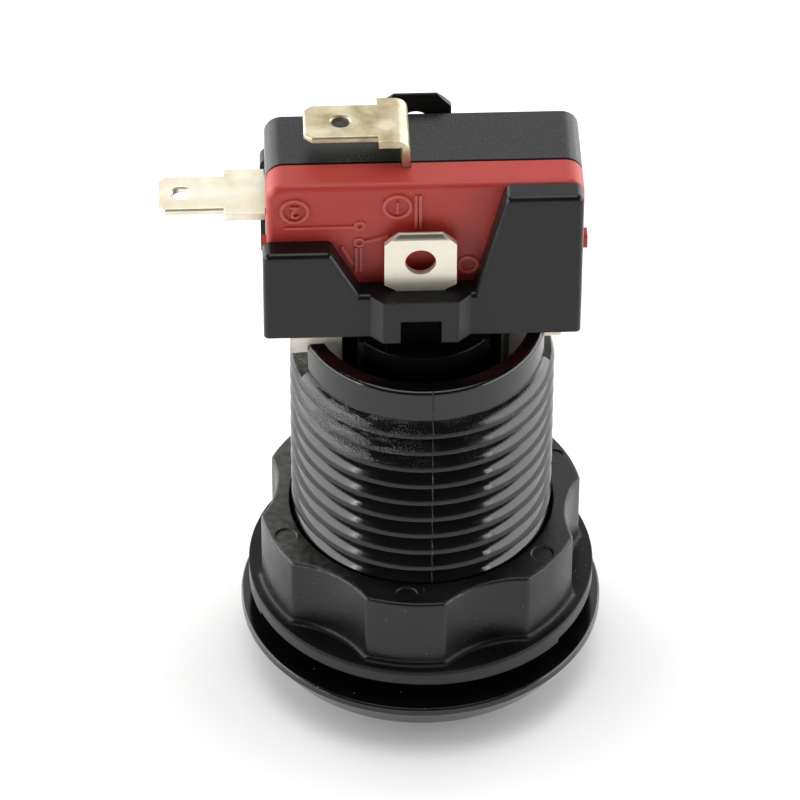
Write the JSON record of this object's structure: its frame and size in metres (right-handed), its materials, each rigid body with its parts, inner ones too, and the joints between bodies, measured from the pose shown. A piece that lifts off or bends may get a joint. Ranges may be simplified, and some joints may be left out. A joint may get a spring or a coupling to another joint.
{
  "type": "arcade push button",
  "caption": "Illuminated panel push button: round bezel on a threaded barrel with ring nut, sprung button, and a clipped-on microswitch and lamp holder with push-on tabs.",
  "frame": {"origin": "on the barrel's axis, at the bezel's back face where the panel seats", "axes": "+Z along the barrel from the button to the switch, X along the switch's length with the side tab at -X, -Y towards the switch's red cover"},
  "size_m": [0.0402, 0.0334, 0.0602],
  "materials": {
    "barrel_plastic": "glossy black moulded plastic",
    "nut_plastic": "satin black moulded plastic",
    "cap_plastic": "milky white translucent plastic",
    "cream_plastic": "cream moulded plastic",
    "spring_steel": "plain spring wire",
    "holder_plastic": "satin black moulded plastic",
    "tab_plate": "tin-plated brass strip",
    "lamp_plastic": "white moulded plastic",
    "led_resin": "clear epoxy resin",
    "resistor_body": "lacquered ceramic",
    "lead_wire": "tinned wire",
    "case_plastic": "dark grey moulded plastic",
    "cover_plastic": "satin red moulded plastic",
    "pin_plastic": "black moulded plastic",
    "blade_bronze": "rolled bronze strip",
    "contact_silver": "silver rivet",
    "terminal_plate": "tarnished tin-plated brass"
  },
  "bodies": {
    "housing": {"bezel_barrel": "barrel_plastic", "return_spring": "spring_steel", "lamp_holder": "holder_plastic", "lamp_terminal_front": "tab_plate", "lamp_terminal_rear": "tab_plate", "lamp_base": "lamp_plastic", "led_bulb": "led_resin", "lamp_resistor": "resistor_body", "lamp_leads": "lead_wire", "switch_case": "case_plastic", "switch_cover": "cover_plastic", "moving_blade": "blade_bronze", "fixed_contact": "contact_silver", "contact_stop": "tab_plate", "common_terminal": "terminal_plate", "normally_open_terminal": "terminal_plate"},
    "plunger": {"button_cap": "cap_plastic", "pusher": "cream_plastic"},
    "pin": {"switch_pin": "pin_plastic"},
    "contact": {"moving_contact": "contact_silver"},
    "nut": {"panel_nut": "nut_plastic"}
  },
  "joints": [
    {"name": "button_press", "type": "slide", "parent": "housing", "child": "plunger", "axis": [0, 0, 1], "range_m": [0, 0.002], "stiffness_N_per_m": 300, "springref_m": -0.004, "deforming": ["return_spring", "moving_blade"]},
    {"name": "pin_push", "type": "slide", "parent": "housing", "child": "pin", "axis": [0, 0, 1], "range_m": [0, 0.002]},
    {"name": "contact_make", "type": "slide", "parent": "housing", "child": "contact", "axis": [0, 0, 1], "range_m": [0, 0.0009]},
    {"name": "nut_travel", "type": "slide", "parent": "housing", "child": "nut", "axis": [0, 0, 1], "range_m": [-0.002, 0.016]}
  ],
  "couplings": [
    {"joint": "pin_push", "follows": "button_press", "ratio": 1},
    {"joint": "contact_make", "follows": "button_press", "ratio": 0.45}
  ]
}
